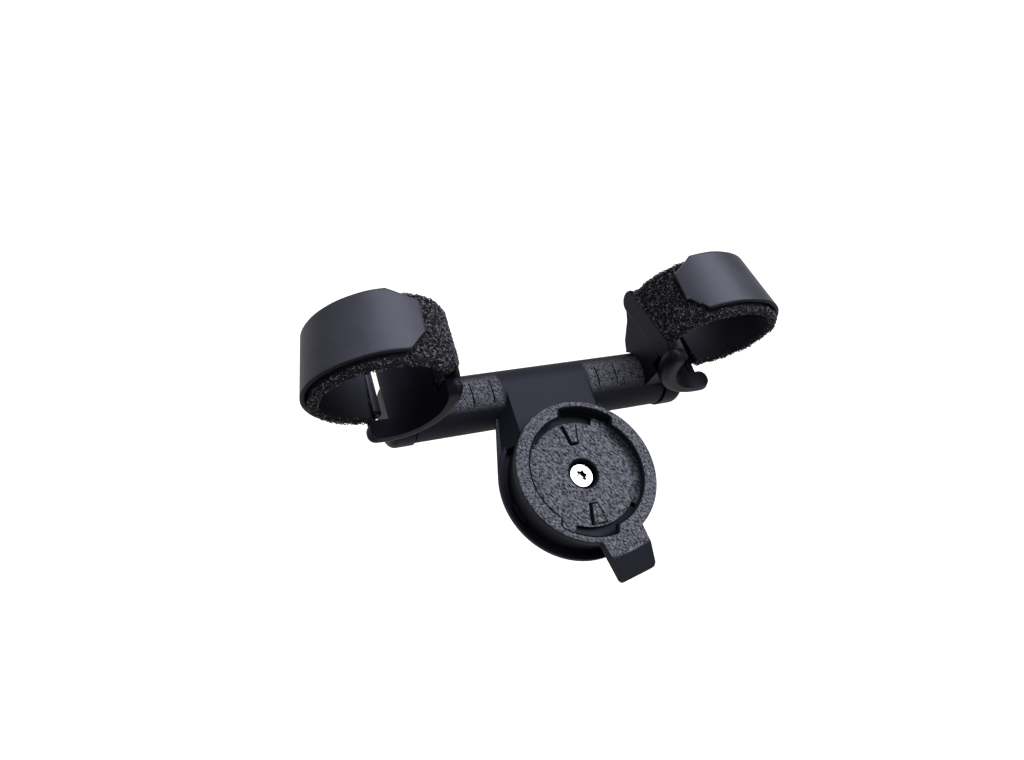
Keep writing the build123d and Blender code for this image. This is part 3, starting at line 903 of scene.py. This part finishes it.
# %% [markdown]
# ## Sweep the bands, and mark where loops can stand
# Loops of pile stand only where nothing presses on them: not under the tail and not on the
# band's back, and only half as many on its edges. That could be a vertex group painted by hand.
# It is worked out here instead and kept in an attribute of the mesh, which the next step reads.

# %% Pile bands
BAND_TURN = (-81.7, 194.0)
BAND_STEPS = 190
BAND_SECTION = section(22, 0.7)
NECK_TURN, NECK_BLEND = 152.0, 6
NECK_Y = (-1.2, 15.5)
# Painted shade: no loops stand within these margins past the tail's edges and end, so the bare dark
# ground there stands in for the tail's shadow.
SHADOW_GAP_MM = 0.5
SHADOW_GAP_TURN = 2.0
EDGE_SHARE = 0.5
# Shares of the thickness below which no loop stands and below which a face is backing.
BACK_BELOW = 0.15
BACKING_BELOW = 0.1


def band_edges(side, turn):
    """The band's two edges in y, drawn in at its neck behind the keeper."""
    y0 = BAND_Y[side]
    y1 = y0 + BAND_W
    neck = min(1.0, max(0.0, (turn - NECK_TURN + NECK_BLEND) / NECK_BLEND))
    return y0 + (max(y0, NECK_Y[0]) - y0) * neck, y1 + (min(y1, NECK_Y[1]) - y1) * neck


def uncovered(side, turn, tail_end, share, height):
    """Share of the full number of loops at a point of the band's section."""
    low, high = band_edges(side, turn)
    y = low + (high - low) * share
    tail_low, tail_high = tail_edges(side, min(turn, tail_end))
    under_tail_or_shadow_gap = (turn < tail_end + SHADOW_GAP_TURN
               and tail_low - SHADOW_GAP_MM < y < tail_high + SHADOW_GAP_MM)
    if under_tail_or_shadow_gap or height <= BACK_BELOW:
        return 0.0
    return EDGE_SHARE if share in (0.0, 1.0) else 1.0


def pile_band(side):
    """Adds one strap's pile band as a piece, and returns it."""
    start, end = (turn_for(side, BAND_Y[side], BAND_W, turn, 0.0) for turn in BAND_TURN)
    turns = [start + (end - start) * k / BAND_STEPS for k in range(BAND_STEPS + 1)]
    mesh = sweep(side + "_pile_band", turns, lambda turn: band_edges(side, turn),
                 lambda y, turn: band_inner(side, y, turn),
                 lambda y, turn: band_outer(side, y, turn), BAND_SECTION)
    tail_end = turn_for(side, TAIL_Y[side], TAIL_W, TAIL_END[side], TAIL_GAP + TAIL_T)
    count = len(BAND_SECTION)
    cover = mesh.attributes.new("uncovered", "FLOAT", "POINT")
    for r, turn in enumerate(turns):
        for c, (share, _, height) in enumerate(BAND_SECTION):
            cover.data[r * count + c].value = uncovered(side, turn, tail_end, share, height)
    finish_mesh(mesh, side == "left")
    for finish in (ground, backing_and_rim_shade):
        mesh.materials.append(finish)
    for polygon in mesh.polygons:
        highest = max(BAND_SECTION[v % count][2] for v in polygon.vertices)
        polygon.material_index = 1 if highest < BACKING_BELOW else 0
    return place_piece(side + "_pile_ground", mesh, side, side + "_pile_band")


bands = {side: pile_band(side) for side in SIDES}

# %% [markdown]
# ## A tree that scatters loops
# The pile is thousands of tiny loops of thread. Hair could be grown for it, but hair is lost in
# an export, and a bump never breaks the outline. Geometry Nodes scatter points over the band's
# uncovered face, stand an open ring of thread on each, lean it at random and keep it all as
# plain mesh. Real loops are smaller and closer together, so each one here stands for a few.

# %% A tree that scatters loops
LOOP_RADIUS_MM = 0.33
LOOP_THREAD_MM = 0.1
LOOPS_PER_MM2 = 6.5
LOOP_START, LOOP_SWEEP = math.radians(-35), math.radians(250)
LOOP_SEGMENTS, THREAD_SIDES = 6, 3
LEAN = (0.75, 0.75, math.pi)
LOOP_SIZES = (0.7, 1.25)
LOOP_SEED = {"left": 4, "right": 11}


def loop_inputs(tree):
    """Gives the tree its named inputs and returns their sockets."""
    for label, kind, value in (
            ("Geometry", "NodeSocketGeometry", None),
            ("Loop radius", "NodeSocketFloat", LOOP_RADIUS_MM * MM),
            ("Thread radius", "NodeSocketFloat", LOOP_THREAD_MM * MM),
            ("Loops per square metre", "NodeSocketFloat", LOOPS_PER_MM2 / MM ** 2),
            ("Seed", "NodeSocketInt", LOOP_SEED["left"]),
            ("Finish", "NodeSocketMaterial", None)):
        socket = tree.interface.new_socket(name=label, in_out="INPUT", socket_type=kind)
        if value is not None:
            socket.default_value = value
    tree.interface.new_socket(name="Geometry", in_out="OUTPUT", socket_type="NodeSocketGeometry")
    return add(tree, "NodeGroupInput").outputs


def one_loop(tree, given):
    """An open ring of thread that stands on its foot."""
    arc = add(tree, "GeometryNodeCurveArc", {
        "Resolution": LOOP_SEGMENTS, "Radius": given["Loop radius"],
        "Start Angle": LOOP_START, "Sweep Angle": LOOP_SWEEP}, mode="RADIUS")
    profile = add(tree, "GeometryNodeCurvePrimitiveCircle", {
        "Resolution": THREAD_SIDES, "Radius": given["Thread radius"]})
    thread = add(tree, "GeometryNodeCurveToMesh", {
        "Curve": arc.outputs["Curve"], "Profile Curve": profile.outputs["Curve"],
        "Fill Caps": True})
    return add(tree, "GeometryNodeTransform", {
        "Geometry": thread.outputs["Mesh"], "Rotation": (math.radians(90), 0, 0)}).outputs[0]


def loop_scatter():
    """Geometry tree that covers a mesh with standing loops where 'uncovered' is 1."""
    tree = bpy.data.node_groups.new("pile_loop_scatter", "GeometryNodeTree")
    given = loop_inputs(tree)
    shown = add(tree, "GeometryNodeInputNamedAttribute", {"Name": "uncovered"}, data_type="FLOAT")
    density = add(tree, "ShaderNodeMath", {
        0: shown.outputs["Attribute"], 1: given["Loops per square metre"]}, operation="MULTIPLY")
    points = add(tree, "GeometryNodeDistributePointsOnFaces", {
        "Mesh": given["Geometry"], "Density": density.outputs[0], "Seed": given["Seed"]},
        distribute_method="RANDOM")
    standing = one_loop(tree, given)
    lean = add(tree, "FunctionNodeRandomValue", {
        0: tuple(-angle for angle in LEAN), 1: LEAN, "Seed": given["Seed"]},
        data_type="FLOAT_VECTOR")
    lean_turn = add(tree, "FunctionNodeEulerToRotation", {"Euler": lean.outputs[0]})
    facing = add(tree, "FunctionNodeRotateRotation", {
        "Rotation": points.outputs["Rotation"], "Rotate By": lean_turn.outputs["Rotation"]},
        rotation_space="LOCAL")
    size = add(tree, "FunctionNodeRandomValue", {
        2: LOOP_SIZES[0], 3: LOOP_SIZES[1], "Seed": given["Seed"]}, data_type="FLOAT")
    placed = add(tree, "GeometryNodeInstanceOnPoints", {
        "Points": points.outputs["Points"], "Instance": standing,
        "Rotation": facing.outputs["Rotation"], "Scale": size.outputs[1]})
    real = add(tree, "GeometryNodeRealizeInstances", {"Geometry": placed.outputs["Instances"]})
    coloured = add(tree, "GeometryNodeSetMaterial", {
        "Geometry": real.outputs["Geometry"], "Material": given["Finish"]})
    add(tree, "NodeGroupOutput", {"Geometry": coloured.outputs["Geometry"]})
    return tree


scatter = loop_scatter()
print(scatter.name, len(scatter.nodes), "nodes")

# %% [markdown]
# ## The pile's loops
# The tree runs on a copy of each band, with its own seed. The result is kept as a plain mesh and
# the modifier is taken off, so that the loops are a piece like any other and turn with their
# saddle.

# %% The pile's loops
def pile_loops(side):
    """The loops of one band as a plain mesh of their own."""
    host = bpy.data.objects.new(side + "_loop_host", bands[side].data.copy())
    scene.collection.objects.link(host)
    modifier = host.modifiers.new("loops", "NODES")
    modifier.node_group = scatter
    sockets = {item.name: item.identifier for item in scatter.interface.items_tree
               if item.in_out == "INPUT"}
    modifier[sockets["Seed"]] = LOOP_SEED[side]
    modifier[sockets["Finish"]] = loops
    evaluated = host.evaluated_get(bpy.context.evaluated_depsgraph_get())
    mesh = bpy.data.meshes.new_from_object(evaluated)
    host.modifiers.remove(modifier)
    bpy.data.objects.remove(host)
    mesh.name = side + "_pile_loops"
    mesh.shade_smooth()
    return place_piece(side + "_pile_loops", mesh, side)


pile = {side: pile_loops(side) for side in SIDES}
print("finish of the loops", [m.name for m in pile["left"].data.materials if m is not None])

# %% [markdown]
# ## Floor
# In use the mount hangs in the air, so the floor is well below it. It is pale grey paper,
# which gives the mount its light from below and takes its soft shadow. The photograph's
# background is white. More light on the paper would wash out the mount too, so only what the
# camera sees of the paper is lifted to white, and what shiny surfaces mirror of it is lifted a
# little.

# %% Floor
FLOOR_Z_MM = -120.0
FLOOR_HALF_MM = 3000.0
PAPER = "#c4c4c2"
SEEN_LIFT = 0.85
MIRRORED_LIFT = 0.1


def white_paper(name):
    """Matt paper, white to the camera."""
    material, tree, output = blank_material(name)
    rays = add(tree, "ShaderNodeLightPath").outputs
    mirrored = add(tree, "ShaderNodeMath", {0: rays["Is Glossy Ray"], 1: MIRRORED_LIFT},
                   operation="MULTIPLY")
    seen = add(tree, "ShaderNodeMath", {0: rays["Is Camera Ray"], 1: SEEN_LIFT},
               operation="MULTIPLY")
    lift = add(tree, "ShaderNodeMath", {0: seen.outputs[0], 1: mirrored.outputs[0]},
               operation="MAXIMUM")
    paper = add(tree, "ShaderNodeBsdfDiffuse", {"Color": linear(PAPER)})
    glow = add(tree, "ShaderNodeEmission", {"Strength": lift.outputs[0]})
    surface = add(tree, "ShaderNodeAddShader", {0: paper.outputs[0], 1: glow.outputs[0]})
    tree.links.new(surface.outputs[0], output.inputs["Surface"])
    return material


half, level = FLOOR_HALF_MM * MM, FLOOR_Z_MM * MM
floor_mesh = bpy.data.meshes.new("floor")
floor_mesh.from_pydata([(-half, -half, level), (half, -half, level),
                        (half, half, level), (-half, half, level)], [], [(0, 1, 2, 3)])
floor_mesh.materials.append(white_paper("white_paper"))
floor = bpy.data.objects.new("floor", floor_mesh)
scene.collection.objects.link(floor)
print("floor", FLOOR_Z_MM, "mm up")

# %% [markdown]
# ## Lamps
# On the real mount the level tops shine softly and the sides fall away dark, as beside a large
# window. One broad panel behind, above and to the right gives most of that light. Three weak
# ones fill in: one behind on the left draws the sheen on the left strap, one on the left rounds
# its saddle, and one in front keeps the tab's slope from going black. Small lamps would be
# simpler, but they make hard spots on satin rubber.

# %% Lamps
MOUNT_MIDDLE_MM = (0, -5, 8)
# Each panel: its place, its width and height, and its power in watts.
PANELS = {
    "window_panel": ((340, 380, 760), (1200, 450), 7.8),
    "left_rear_panel": ((-520, 310, 520), (400, 400), 0.3),
    "left_panel": ((-560, -300, 300), (500, 500), 0.25),
    "front_panel": ((405, -485, 485), (500, 500), 0.6),
}


def panel(name, at_mm, aim_mm, size_mm, power):
    """A rectangular lamp that faces a point, with its width level."""
    data = bpy.data.lights.new(name, "AREA")
    data.shape = "RECTANGLE"
    data.size, data.size_y = (length * MM for length in size_mm)
    data.energy = power
    lamp = bpy.data.objects.new(name, data)
    scene.collection.objects.link(lamp)
    towards = (Vector(aim_mm) - Vector(at_mm)).to_track_quat("-Z", "Y").to_matrix().to_4x4()
    lamp.matrix_world = Matrix.Translation(Vector(at_mm) * MM) @ towards


for name, (at_mm, size_mm, power) in PANELS.items():
    panel(name, at_mm, MOUNT_MIDDLE_MM, size_mm, power)
print("lamps", ", ".join(PANELS))

# %% [markdown]
# ## World
# The air of a studio is never quite dark. A black world with more lamps would leave every hollow
# black, so the world gives the mount a weak even light. The camera sees the world at full
# strength, as a pale wall behind the floor.

# %% World
WALL = "#e7e7e7"
AMBIENT = 0.2
SEEN = 1.0

world = bpy.data.worlds.new("studio")
world.use_nodes = True
sky = world.node_tree
sky.nodes.clear()
rays = add(sky, "ShaderNodeLightPath").outputs
strength = add(sky, "ShaderNodeMapRange", {
    "Value": rays["Is Camera Ray"], "To Min": AMBIENT, "To Max": SEEN})
background = add(sky, "ShaderNodeBackground", {
    "Color": linear(WALL), "Strength": strength.outputs["Result"]})
add(sky, "ShaderNodeOutputWorld", {"Surface": background.outputs[0]})
scene.world = world
print("ambient light", AMBIENT)
